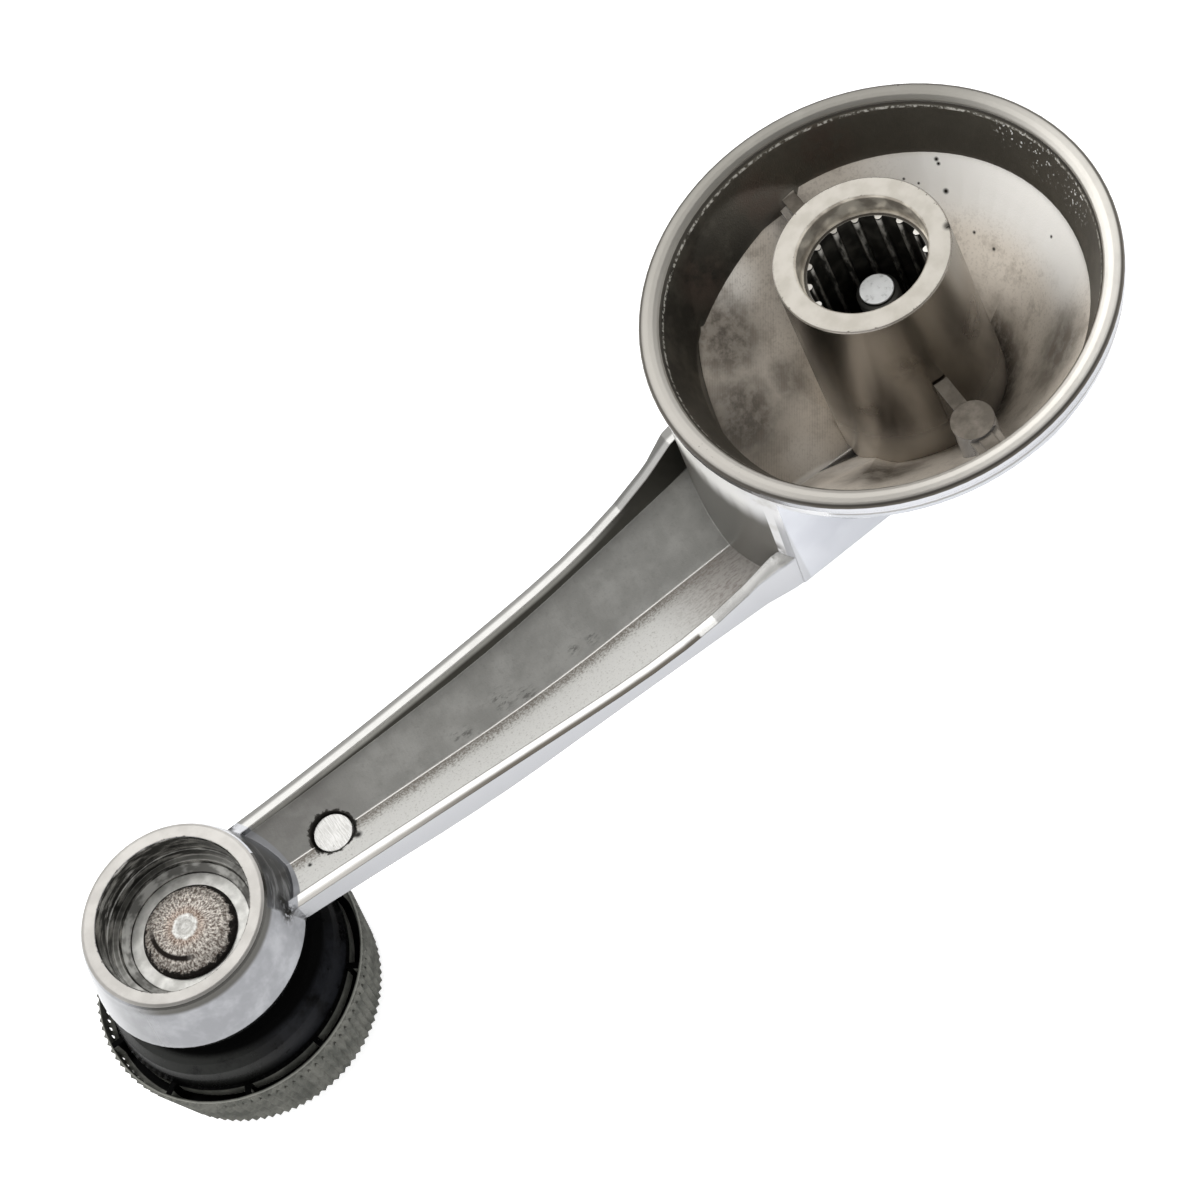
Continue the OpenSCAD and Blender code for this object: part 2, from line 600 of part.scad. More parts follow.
module thrust_washer() color([0.70, 0.68, 0.62])
    translate([ring_x, 0, -spindle_head_depth]) difference() {
        cylinder(h = thrust_thickness, r = spindle_head_radius - 0.3);
        translate([0, 0, -1]) cylinder(h = 3, r = spindle_radius + 0.06);
    }

module knob_body() color([0.10, 0.10, 0.10])
    translate([ring_x, 0, 0]) difference() {
        union() {
            // neck, flared shoulder and core
            rotate_extrude($fn = 96) polygon([
                [sleeve_radius, -knob_neck_depth], [knob_neck_radius - 0.6, -knob_neck_depth],
                [knob_neck_radius, -knob_neck_depth - 0.3],
                [knob_neck_radius + 1.5, -knob_neck_depth - 1.1],
                [knob_neck_radius + 2.7, -knob_neck_depth - 2.0],
                [knob_neck_radius + 3.5, -knob_neck_depth - 3.0],
                [pocket_inner_radius - 0.35, -knob_neck_depth - 3.9],
                [pocket_inner_radius, -knob_rim_depth + 0.2],
                [knob_radius - 0.75, -knob_rim_depth + 0.12],
                [knob_radius - 0.45, -knob_rim_depth - 0.1],
                [knob_low_radius - 0.45, knob_front_z + 0.1],
                [knob_low_radius - 1.4, knob_front_z - 0.6],
                [cap_step_radius + 2.4, knob_nose_z + 0.3],
                [cap_step_radius + 0.3, knob_nose_z],
                [cap_step_radius, knob_nose_z + 0.2],
                [cap_step_radius, knob_nose_z + cap_thickness],
                [head_room_radius, knob_nose_z + cap_thickness],
                [head_room_radius, sleeve_foot_z], [sleeve_radius, sleeve_foot_z],
                [sleeve_radius, -38], [sleeve_radius + 0.7, -38], [sleeve_radius + 0.7, -36],
                [sleeve_radius, -36]]);
            // knurled band
            difference() {
                translate([0, 0, knob_front_z + 0.35]) linear_extrude(knob_rim_height - 0.55,
                    scale = (knob_radius - 0.15)/knob_low_radius)
                    polygon([for (i = [0:2*knurl_count - 1]) let (a = 180*i/knurl_count,
                        r = knob_low_radius - (i % 2)*knurl_height) [r*cos(a), r*sin(a)]]);
                translate([0, 0, knob_front_z - 5]) cylinder(h = 30, r = pocket_inner_radius - 1.5);
            }
        }
        // ring of pockets beside the rim
        difference() {
            translate([0, 0, -knob_rim_depth - 2.2]) difference() {
                cylinder(h = 6, r = pocket_inner_radius + pocket_width, $fn = 96);
                translate([0, 0, -1]) cylinder(h = 8, r = pocket_inner_radius, $fn = 96);
            }
            for (i = [0:pocket_count - 1]) rotate([0, 0, 31 + i*360/pocket_count])
                translate([pocket_inner_radius - 1, -pocket_web/2, -knob_rim_depth - 5])
                    cube([4, pocket_web, 8]);
        }
    }

module knob_cap() color([0.15, 0.15, 0.15])
    translate([ring_x, 0, 0]) rotate_extrude($fn = 72) polygon([
        [0, knob_nose_z + cap_thickness], [cap_step_radius - 0.01, knob_nose_z + cap_thickness],
        [cap_step_radius - 0.01, knob_nose_z + 0.25], [cap_step_radius - 0.5, knob_nose_z - 0.05],
        [cap_step_radius - 3, knob_nose_z - 0.35], [0, knob_nose_z - 0.5]]);

crank_casting();
boss_sleeve();
spline_bush();
retaining_screw();
screw_lock_washer();
arm_stud();
rivet_washer();
knob_spindle();
wave_washer();
knob_sleeve();
thrust_washer();
knob_body();
knob_cap();
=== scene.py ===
import math

import bpy
from mathutils import Matrix, Vector

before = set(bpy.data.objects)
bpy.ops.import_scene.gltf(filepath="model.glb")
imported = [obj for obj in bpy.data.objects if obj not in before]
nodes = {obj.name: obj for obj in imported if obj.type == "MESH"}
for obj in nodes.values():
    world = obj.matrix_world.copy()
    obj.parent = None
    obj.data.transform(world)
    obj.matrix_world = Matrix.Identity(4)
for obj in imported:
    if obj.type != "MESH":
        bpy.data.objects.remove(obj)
scene = bpy.context.scene
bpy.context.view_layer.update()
scene.view_settings.view_transform = "Standard"

# Sizes of the part that the finishes are placed by, in millimetres, as in the CAD source.
MM = 0.001
BOSS_R = 10.0
BUSH_Z = -2.9
SCREW_Z = -7.2
CUP_R, RIM_R, RIM_Z = 25.1, 27.4, -7.4
RIB_ANGLE, RIB_Z = math.radians(85.5), -14.0
ARM_START, ARM_END = 30.0, 94.3
ARM_HALF_HUB, ARM_HALF_RING, ARM_TAPER = 11.2, 6.9, 1.3
LIP = 1.5
LIP_START_X, LIP_LOW_X, LIP_LOW_Z = 28.4, 48.0, -25.6
LIP_RISE_HUB, LIP_RISE_RING = 3.7, 3.5
STUD_X, STUD_R = 84.4, 2.3
KNOB_X = 103.7
RING_R, RING_Z = 9.2, -18.0
KNOB_R, KNOB_Z = 16.8, -34.5

# Places where the photo shows something of its own, stains and painted light alike, each as x, y, z and
# reach in millimetres.
# The cup wall's warm patches are painted reflection.
WALL_WARM_REFLECTIONS = ((-7.8, -22.3, -10.9, 6.0), (1.0, -23.1, -11.8, 5.0), (12.7, -18.8, -12.3, 5.0))
WALL_SPECKS = ((-24.0, -5.8, -8.4, 4.0), (-24.4, -1.0, -9.0, 4.5), (-23.6, 5.5, -9.6, 4.0))
DISH_PITS = ((-17.1, -13.8, -14.6, 0.4), (-17.0, -13.4, -15.0, 0.34), (-15.9, -11.4, -17.4, 0.5),
             (-13.2, -15.6, -16.3, 0.26), (-14.2, -14.2, -16.8, 0.24), (-15.5, -6.6, -20.5, 0.32),
             (-15.9, -3.6, -21.2, 0.34), (-20.2, 3.0, -16.3, 0.3))
RIM_FLECKS = ((25.0, 7.4, -7.0, 2.0), (24.3, 8.9, -7.0, 2.0), (27.0, 3.0, -7.4, 3.0))
NECK_DIRT = ((27.4, -9.5, -18.0, 4.0), (27.4, -6.5, -15.0, 4.0))
NECK_SMUDGE = (26.0, 9.8, -20.5, 2.6)
NECK_CORNER = (26.5, 12.0, -18.0, 9.0)
ARM_DIRT = ((65.6, -1.1, -28.3, 1.2), (66.9, -1.4, -28.1, 0.9), (60.0, -1.9, -28.8, 2.2),
            (57.6, -0.6, -29.3, 2.0), (50.0, -1.6, -29.5, 1.0), (47.5, -1.4, -29.6, 1.2))
STUD_PITS = ((82.3, 2.3, -25.6, 0.75), (88.6, 2.0, -24.7, 0.4))
# The well's pale patches are painted highlights.
WELL_HIGHLIGHTS = ((109.5, -6.3, -20.0, 2.6), (105.5, -8.8, -20.5, 1.6))
RING_CHIPS = ((93.6, 6.8, -22.0, 1.6), (93.2, -7.2, -21.9, 1.2), (93.2, 5.6, -21.2, 1.3))
SLEEVE_SMUDGES = ((2.5, 9.8, -9.0, 4.0), (-6.0, 8.0, -12.0, 6.0), (8.2, 5.6, -16.0, 3.5))
SLEEVE_CHIP = (-8.9, 4.1, 0.0, 0.8)


def srgb(*levels):
    """Colour written as 0 to 255 screen levels, turned into the linear numbers that a shader takes."""
    out = []
    for level in levels:
        c = level / 255
        out.append(c / 12.92 if c <= 0.04045 else ((c + 0.055) / 1.055) ** 2.4)
    return (*out, 1.0)


class Field:
    """A number that varies over a surface. Arithmetic on it adds shader nodes."""

    def __init__(self, paint, socket):
        self.paint, self.socket = paint, socket

    def __add__(self, other):
        return self.paint.math("ADD", self, other)

    def __radd__(self, other):
        return self.paint.math("ADD", other, self)

    def __sub__(self, other):
        return self.paint.math("SUBTRACT", self, other)

    def __rsub__(self, other):
        return self.paint.math("SUBTRACT", other, self)

    def __mul__(self, other):
        return self.paint.math("MULTIPLY", self, other)

    def __rmul__(self, other):
        return self.paint.math("MULTIPLY", other, self)

    def __truediv__(self, other):
        return self.paint.math("DIVIDE", self, other)

    def __pow__(self, other):
        return self.paint.math("POWER", self, other)

    def __neg__(self):
        return self.paint.math("MULTIPLY", self, -1.0)

    def __abs__(self):
        return self.paint.math("ABSOLUTE", self)

    def above(self, lo, hi):
        """Goes softly from 0 at lo to 1 at hi."""
        return self.paint.step(self, lo, hi)

    def below(self, lo, hi):
        """Goes softly from 1 at lo to 0 at hi."""
        return 1.0 - self.paint.step(self, lo, hi)

    def near(self, value, reach):
        """Is 1 around the value and 0 from reach away."""
        return abs(self - value).below(reach * 0.4, reach)


class Paint:
    """A procedural material whose helpers work in millimetres of the shared frame."""

    def __init__(self, name):
        self.material = bpy.data.materials.new(name)
        self.material.use_nodes = True
        self.tree = self.material.node_tree
        self.shader = self.tree.nodes["Principled BSDF"]
        coords = self.tree.nodes.new("ShaderNodeTexCoord")
        scaled = self.tree.nodes.new("ShaderNodeVectorMath")
        scaled.operation = "SCALE"
        scaled.inputs["Scale"].default_value = 1 / MM
        self.tree.links.new(coords.outputs["Object"], scaled.inputs[0])
        self.here = scaled.outputs[0]
        self.x, self.y, self.z = self.split(self.here)
        self.nx, self.ny, self.nz = self.split(coords.outputs["Normal"])

    def split(self, vector):
        part = self.tree.nodes.new("ShaderNodeSeparateXYZ")
        self.tree.links.new(vector, part.inputs[0])
        return [Field(self, out) for out in part.outputs]

    def put(self, value, socket):
        if isinstance(value, Field):
            self.tree.links.new(value.socket, socket)
        else:
            socket.default_value = value

    def math(self, kind, *values):
        node = self.tree.nodes.new("ShaderNodeMath")
        node.operation = kind
        for value, socket in zip(values, node.inputs):
            self.put(value, socket)
        return Field(self, node.outputs[0])

    def top(self, *values):
        out = values[0]
        for value in values[1:]:
            out = self.math("MAXIMUM", out, value)
        return out

    def step(self, value, lo, hi):
        node = self.tree.nodes.new("ShaderNodeMapRange")
        node.interpolation_type = "SMOOTHSTEP"
        self.put(value, node.inputs["Value"])
        self.put(lo, node.inputs["From Min"])
        self.put(hi, node.inputs["From Max"])
        return Field(self, node.outputs[0])

    def spread(self, value, low, high):
        """Turns a 0 to 1 field into one from low to high."""
        return low + (high - low) * value

    def radius(self, cx=0.0, cy=0.0):
        return ((self.x - cx) ** 2.0 + (self.y - cy) ** 2.0) ** 0.5

    def angle(self, cx=0.0, cy=0.0):
        return self.math("ARCTAN2", self.y - cy, self.x - cx)

    def spots(self, *places):
        """Soft round spots, each given as x, y, z and reach in millimetres."""
        out = 0.0
        for cx, cy, cz, reach in places:
            away = ((self.x - cx) ** 2.0 + (self.y - cy) ** 2.0 + (self.z - cz) ** 2.0) ** 0.5
            out = self.math("MAXIMUM", away.below(reach * 0.2, reach), out)
        return out

    def noise(self, size, detail=2.0, rough=0.5, at=None, stretch=(1, 1, 1)):
        """Cloudy noise with lumps of about size millimetres; stretch makes them longer along an axis."""
        node = self.tree.nodes.new("ShaderNodeTexNoise")
        node.inputs["Scale"].default_value = 1 / size
        node.inputs["Detail"].default_value = detail
        node.inputs["Roughness"].default_value = rough
        if at is None:
            scale = self.tree.nodes.new("ShaderNodeVectorMath")
            scale.operation = "MULTIPLY"
            self.tree.links.new(self.here, scale.inputs[0])
            scale.inputs[1].default_value = [1 / s for s in stretch]
            self.tree.links.new(scale.outputs[0], node.inputs["Vector"])
        else:
            join = self.tree.nodes.new("ShaderNodeCombineXYZ")
            for value, socket in zip(at, join.inputs):
                self.put(value, socket)
            self.tree.links.new(join.outputs[0], node.inputs["Vector"])
        return Field(self, node.outputs["Fac"])

    def mix(self, first, second, amount):
        """Colour that goes from the first to the second as amount goes from 0 to 1."""
        node = self.tree.nodes.new("ShaderNodeMix")
        node.data_type = "RGBA"
        colours_in = [socket for socket in node.inputs if socket.type == "RGBA"]
        self.put(amount, node.inputs["Factor"])
        self.put(first, colours_in[0])
        self.put(second, colours_in[1])
        return Field(self, next(socket for socket in node.outputs if socket.type == "RGBA"))

    def bevel(self, radius):
        node = self.tree.nodes.new("ShaderNodeBevel")
        node.samples = 4
        self.put(radius * MM, node.inputs["Radius"])
        return Field(self, node.outputs[0])


class Coat:
    """Colour, roughness, metal, relief and edge radius in millimetres, laid on zone by zone."""

    def __init__(self, paint, colour, rough, metal=1.0, relief=0.0, edge=0.2):
        self.paint, self.colour, self.rough = paint, colour, rough
        self.metal, self.relief, self.edge = metal, relief, edge

    def lay(self, zone, colour=None, rough=None, metal=None, relief=None):
        if colour is not None:
            self.colour = self.paint.mix(self.colour, colour, zone)
        if rough is not None:
            self.rough = self.rough + zone * (rough - self.rough)
        if metal is not None:
            self.metal = self.metal + zone * (metal - self.metal)
        if relief is not None:
            self.relief = self.relief + zone * relief

    def soften(self, zone, more):
        """Rounds the edges of a zone more, as they look and not as they are built."""
        self.edge = self.edge + zone * more

    def finish(self):
        p, shader = self.paint, self.paint.shader
        p.put(self.colour, shader.inputs["Base Color"])
        p.put(self.rough, shader.inputs["Roughness"])
        p.put(self.metal, shader.inputs["Metallic"])
        bump = p.tree.nodes.new("ShaderNodeBump")
        bump.inputs["Distance"].default_value = MM
        p.put(self.relief, bump.inputs["Height"])
        p.put(p.bevel(self.edge), bump.inputs["Normal"])
        p.tree.links.new(bump.outputs[0], shader.inputs["Normal"])
        return p.material


def dress(node, material):
    for slot in nodes[node].material_slots:
        slot.material = material


# Inside of the cup: its wall, its dished floor with the rib and the pad, and its rim.
def lay_cup(p, coat, grain, smudge):
    x, y, z = p.x, p.y, p.z
    hub = p.radius()
    inward = -((x * p.nx + y * p.ny) / hub)
    facing = p.top(inward.above(0.05, 0.15), p.nz.above(0.35, 0.5))
    hollow = hub.below(CUP_R + 0.2, CUP_R + 0.3) * facing * z.below(RIM_Z - 0.1, RIM_Z)
    wall = hollow * p.nz.below(0.56, 0.61) * hub.above(18.5, 19.5)
    dish = hollow * (1.0 - wall)
    rim = z.above(RIM_Z - 1.9, RIM_Z - 1.5) * hub.above(CUP_R - 0.2, CUP_R - 0.05) * (1.0 - hollow)
    off_rib = abs(x * math.sin(RIB_ANGLE) - y * math.cos(RIB_ANGLE))
    tooth = p.noise(0.16, 2.0)

    lay_wall(p, coat, hollow, wall, tooth, smudge)
    lay_dish(p, coat, dish, tooth, grain)
    # rib and pad, duller than the dish
    on_rib = dish * z.above(RIB_Z - 0.3, RIB_Z - 0.1) * off_rib.below(2.6, 2.8) * hub.below(22.0, 22.4)
    tone = p.mix(srgb(116, 109, 99), srgb(146, 138, 127), smudge.above(0.4, 0.65))
    coat.lay(on_rib, tone, 0.5, 0.5, tooth * 0.02)
    lay_rim(p, coat, rim, smudge)
    coat.soften(dish * off_rib.above(3.2, 4.6) * hub.above(12.5, 14.0), 1.2)
    coat.soften(wall, 1.2)


# Cup wall: dark plating tone painted as shade and reflection, paler on its far side as painted
# reflection, with specks there, a worn pale dashed line under the rim and a line of painted shade at the
# rim's edge.
def lay_wall(p, coat, hollow, wall, tooth, smudge):
    # the dark tone is painted shade and reflection of the dark inside, and the far side is painted paler
    # as reflection
    tone = p.mix(srgb(84, 82, 76), srgb(110, 107, 99), smudge.above(0.42, 0.72))
    tone = p.mix(tone, srgb(140, 136, 127), (p.x + p.y).below(-30.0, -6.0) * 0.8)
    coat.lay(wall, tone, 0.3 + 0.1 * smudge, 0.95, tooth * 0.02)
    # warm patches of painted reflection
    coat.lay(wall * p.spots(*WALL_WARM_REFLECTIONS) * smudge.above(0.35, 0.6) * 0.6, srgb(122, 106, 98))
    speck = p.noise(0.42, 1.0, 0.4).above(0.66, 0.69)
    coat.lay(wall * speck * p.spots(*WALL_SPECKS), srgb(250, 250, 246), 0.5, 0.3)
    dashes = p.noise(0.5, 2.0, 0.6).above(0.4, 0.62)
    coat.lay(hollow * p.z.near(RIM_Z - 0.65, 0.22) * dashes, srgb(224, 222, 214), 0.3, 0.5)
    # painted shade in a line just under the rim's edge
    shade_under_rim = hollow * p.z.near(RIM_Z - 0.15, 0.3) * p.radius().above(CUP_R - 0.8, CUP_R - 0.5)
    coat.lay(shade_under_rim, srgb(92, 89, 83), 0.4)


# Dish: satin floor with a painted highlight on the side away from the arm, and blotchy painted shade and
# the boss's painted shadow round the boss and in the trough.
def lay_dish(p, coat, dish, tooth, grain):
    x, y, z = p.x, p.y, p.z
    hub, around = p.radius(), p.angle()
    turn = abs(around)
    turning = p.noise(1.0, 2.0, 0.6, at=(hub * 4.5, around * 0.8, z * 0.1))
    blotch = p.noise(2.4, 4.0, 0.7)
    far_side = p.top(turn.above(2.35, 2.75), y.below(-6.0, 0.0) * turn.above(1.9, 2.4))
    shine = hub.above(16.3, 19.8) * far_side
    # painted light: the highlight on the side away from the arm and a few pale patches
    light = p.top(shine,
                  0.6 * p.spots((15.2, -1.0, -28.0, 4.5)),
                  0.55 * p.spots((10.0, -18.2, -15.0, 5.0)),
                  0.5 * p.spots((12.4, 3.0, -28.2, 4.0)))
    # painted shadow of the boss round its foot
    boss_shadow = hub.below(10.6, 14.5) * around.above(1.5, 2.0)
    boss_shadow = boss_shadow + 0.5 * hub.below(11.0, 15.5) * around.below(-2.2, -1.6)
    # painted shade beside the boss and in the trough, blotched below
    painted_shade = p.top(boss_shadow,
                 0.75 * p.spots((-12.0, 14.2, -18.6, 8.0)),
                 0.9 * p.spots((14.5, -14.0, -16.6, 8.0), (18.5, -8.0, -22.3, 9.0)),
                 0.7 * p.spots((11.5, -8.6, -23.6, 5.0)),
                 p.spots((11.1, 9.5, -23.4, 7.5)),
                 0.5 * p.spots((14.5, 3.5, -28.0, 6.0)))
    plain = 1.0 - shine
    tone = p.mix(srgb(214, 205, 192), srgb(255, 252, 246), light)
    tone = p.mix(tone, srgb(74, 67, 60), painted_shade * p.spread(blotch.above(0.35, 0.6), 0.65, 1.0))
    tone = p.mix(tone, srgb(128, 116, 104), plain * blotch.above(0.5, 0.72) * 0.4)
    tone = p.mix(tone, srgb(150, 140, 128), plain * grain.above(0.5, 0.66) * 0.3)
    # the bright side is a little hollowed towards the wall, so it turns up to the light
    bright_side = turn.above(1.4, 2.4)
    hollowed = (hub - 14.0) * bright_side * -0.42
    relief = turning * 0.004 * bright_side + tooth * 0.01 + hollowed
    coat.lay(dish, tone, 0.3 + 0.1 * turning, 0.25 + 0.65 * shine, relief)
    in_trough = x.above(8.0, 13.0) * abs(y).below(8.0, 14.0)
    coat.lay(dish * in_trough, p.mix(tone, srgb(218, 209, 197), 0.5 * (1.0 - painted_shade)), 0.5, 0.2)
    # fine upright hatching on the far face of the trough, and a painted highlight along the trough's
    # crease
    hatched = dish * (x - y * 0.5).above(9.0, 12.0) * y.below(-0.3, 0.0)
    hatch_gap = 0.3
    hatch = p.math("SINE", (x * -0.783 + y * 0.548 + z * -0.295) * (math.tau / hatch_gap))
    hatched = hatched * hatch.above(-0.2, 1.0) * blotch.above(0.35, 0.6)
    coat.lay(hatched * 0.14, srgb(96, 89, 80), relief=0.01)
    # painted highlight along the crease
    crease = dish * x.above(9.5, 11.0) * abs(y + 0.15).below(0.1, 0.5)
    coat.lay(crease * 0.8, srgb(250, 245, 236), 0.5, 0.1)
    coat.lay(dish * p.spots(*DISH_PITS), srgb(44, 40, 36), 0.6)


# Rim: grey, painted palest on the camera's side away from the arm as reflection, with a stretch of dark
# wear on its far edge.
def lay_rim(p, coat, rim, smudge):
    x, y, z = p.x, p.y, p.z
    hub, around = p.radius(), p.angle()
    # painted reflection: paler towards the camera's side away from the arm
    tone = p.mix(srgb(150, 147, 140), srgb(186, 182, 175), (x + y).above(-30.0, 30.0))
    tone = p.mix(tone, srgb(238, 234, 226), (y - x).above(2.0, 40.0))
    coat.lay(rim, p.mix(tone, srgb(186, 183, 176), smudge.above(0.45, 0.75) * 0.2), 0.4, 1.0)
    fleck = p.noise(0.3, 2.0, 0.6).above(0.7, 0.74)
    coat.lay(rim * p.spots(*RIM_FLECKS) * fleck, srgb(60, 56, 50), 0.6)
    ragged = p.noise(0.7, 3.0, 0.7) * 1.4
    worn = p.step(ragged + hub - (RIM_R - 0.2), 0.55, 0.75) * around.below(-2.25, -2.2)
    coat.lay(rim * worn * around.above(-2.85, -2.75), srgb(52, 50, 46), 0.6, 0.6)
    # side of the rim band, bright like the skirt below it, with a dark line of painted reflection above
    # and below
    coat.lay(rim * p.nz.below(0.35, 0.6) * hub.above(RIM_R - 0.8, RIM_R - 0.6), srgb(186, 187, 191), 0.2)
    upper_reflection_line = rim * z.near(RIM_Z + 0.12, 0.25) * hub.above(RIM_R - 0.5, RIM_R - 0.35)
    lower_reflection_line = z.near(RIM_Z - 1.7, 0.35) * hub.above(RIM_R - 0.8, RIM_R - 0.6)
    coat.lay(upper_reflection_line, srgb(96, 92, 86), 0.3)
    coat.lay(lower_reflection_line, srgb(136, 135, 133), 0.3)


# Upright wall between arm and cup: near white, with a dark smudge on its far half.
def lay_neck(p, coat, smudge):
    x, y, z = p.x, p.y, p.z
    wall = p.nx.above(0.6, 0.8) * p.radius().above(25.5, 25.6) * x.above(20.0, 21.0)
    wall = wall * z.below(RIM_Z - 1.4, RIM_Z - 1.2)
    tone = p.mix(srgb(252, 250, 243), srgb(250, 249, 246), y.above(-3.0, 4.0))
    tone = p.mix(tone, srgb(240, 240, 241), y.above(6.5, 9.5))
    coat.lay(wall, p.mix(tone, srgb(202, 200, 194), smudge.above(0.5, 0.75) * 0.6), 0.3, 0.15)
    dark = p.noise(0.6, 3.0, 0.7).above(0.5, 0.62)
    coat.lay(wall * dark * p.spots(*NECK_DIRT), srgb(58, 56, 50), 0.6, 0.6)
    coat.lay(wall * p.spots(NECK_SMUDGE) * smudge.above(0.3, 0.5), srgb(110, 108, 106), 0.4)
    # the corner where the near lip meets the cup is well rounded
    coat.soften(p.spots(NECK_CORNER), 1.3)


# Arm: its channel and the lips along its edges.
def lay_arm(p, coat, smudge):
    x = p.x
    share = p.top((ARM_END - x) / (ARM_END - ARM_START), 0.0)
    half = ARM_HALF_RING + (ARM_HALF_HUB - ARM_HALF_RING) * share ** ARM_TAPER
    off_cup = p.radius().above(RIM_R - 0.2, RIM_R + 0.1)
    off_ring = p.radius(KNOB_X).above(11.9, 12.2)
    along = x.above(21.0, 22.0) * off_cup * off_ring
    inside = half - LIP
    floor = along * abs(p.y).below(inside - 0.02, inside + 0.02) * p.nz.above(0.6, 0.8)
    lay_channel(p, coat, floor, smudge)
    lay_lips(p, coat, along, floor, half, smudge)


# Channel: grey floor in two faces, the near one painted paler as lit, with a painted highlight along the
# crease, dirt and scratches.
def lay_channel(p, coat, floor, smudge):
    x, y = p.x, p.y
    tone = p.mix(srgb(180, 179, 174), srgb(198, 197, 192), smudge.above(0.35, 0.7))
    tone = p.mix(tone, srgb(158, 155, 150), p.noise(0.5, 4.0, 0.75).above(0.52, 0.68) * 0.3)
    coat.lay(floor, tone, 0.3 + 0.08 * smudge, 1.0, p.noise(0.16, 2.0) * 0.012)
    cross = p.math("SINE", (x + y * 0.8) * 9.0) * p.math("SINE", (x * 0.7 - y) * 9.5)
    coat.lay(floor * y.below(-0.2, 0.0), relief=cross * 0.0012)
    streaks = p.noise(0.4, 3.0, 0.7, stretch=(3.0, 1.0, 1.0))
    coat.lay(floor * p.spots(*ARM_DIRT) * streaks.above(0.46, 0.62) * 0.6, srgb(86, 84, 80), 0.5)
    by_stud = x.above(STUD_X - 8.4, STUD_X - 0.4)
    coat.lay(floor * by_stud * y.below(-0.2, 0.2) * smudge.above(0.3, 0.6), srgb(160, 158, 154), 0.4)
    # near face, painted paler away from the crease, with dust and painted shade that gather at the
    # crease, and scratches near the hub
    facet = floor * y.above(-0.02, 0.02)
    near_crease = y.below(0.0, 2.6) * x.above(28.0, 31.0)
    coat.lay(facet * (1.0 - near_crease), srgb(210, 209, 205))
    dust = p.noise(0.28, 3.0, 0.75)
    coat.lay(facet * p.step(dust + near_crease * 0.3, 0.52, 0.86), srgb(124, 118, 111), 0.45, 0.8)
    scratch = p.noise(0.3, 4.0, 0.75, stretch=(3.0, 1.0, 1.0)).above(0.44, 0.62)
    hub_end = x.below(31.0, 42.0)
    coat.lay(facet * hub_end * 0.7, srgb(160, 154, 148), 0.4)
    coat.lay(facet * hub_end * scratch * 0.55, srgb(112, 103, 95), 0.5, 0.6)
    # painted highlight along the crease between the two faces
    coat.lay(floor * abs(y - 0.08).below(0.03, 0.13), srgb(244, 242, 238), 0.3)


# Lips: bright tops with a greyer outer edge of painted reflection, and inner sides with painted shade at
# the hub end and low down.
def lay_lips(p, coat, along, floor, half, smudge):
    x, y, z, nz = p.x, p.y, p.z, p.nz
    across = abs(y)
    inside = half - LIP
    lip = along * (1.0 - floor) * nz.above(0.8, 0.9) * z.above(-28.0, -27.8)
    coat.lay(lip, p.mix(srgb(202, 201, 198), srgb(220, 219, 216), smudge.above(0.3, 0.6)), 0.16, 1.0)
    # painted reflection greys the outer edge, and painted shade greys the far lip
    coat.lay(lip * across.above(half - 1.0, half - 0.3) * 0.6, srgb(176, 175, 172), 0.2)
    coat.lay(lip * y.below(-0.1, 0.0) * 0.6, srgb(172, 171, 168), 0.2)
    # the near lip's outer edge is dark with painted reflection and gets paler towards the knob, and the
    # far lip's is painted grey as reflection
    near_edge = lip * y.above(0.0, 0.1) * across.above(half - 0.85, half - 0.35)
    tone = p.mix(srgb(96, 91, 84), srgb(168, 165, 160), x.above(62.0, 90.0))
    coat.lay(near_edge * x.above(38.2, 38.5), tone, 0.3)
    coat.lay(lip * y.below(-0.1, 0.0) * across.above(half - 0.75, half - 0.35), srgb(128, 127, 124), 0.3)
    # the near outer side is painted a little darker as shade
    flank = along * nz.below(0.5, 0.7) * across.above(half - 0.3, half - 0.2) * y.above(0.5, 1.0)
    coat.lay(flank, srgb(174, 175, 178))
    rise_ring = LIP_RISE_RING * (p.top(x - LIP_LOW_X, 0.0) / (ARM_END - LIP_LOW_X)) ** 1.3
    rise_hub = LIP_RISE_HUB * (p.top(LIP_LOW_X - x, 0.0) / (LIP_LOW_X - LIP_START_X)) ** 2.4
    lip_level = LIP_LOW_Z + rise_ring + rise_hub
    # inner sides: painted shade at the hub end and low down, pale high up
    inner = along * abs(nz).below(0.4, 0.6) * across.below(inside + 0.2, inside + 0.3)
    upper = (z - lip_level).above(-1.3, -0.5) * x.above(34.0, 46.0)
    coat.lay(inner, p.mix(srgb(96, 94, 89), srgb(226, 225, 222), upper), 0.3)
    # painted shadow along the lip's inner edge
    coat.lay(lip * across.below(inside + 0.08, inside + 0.16), srgb(150, 148, 143), 0.3)
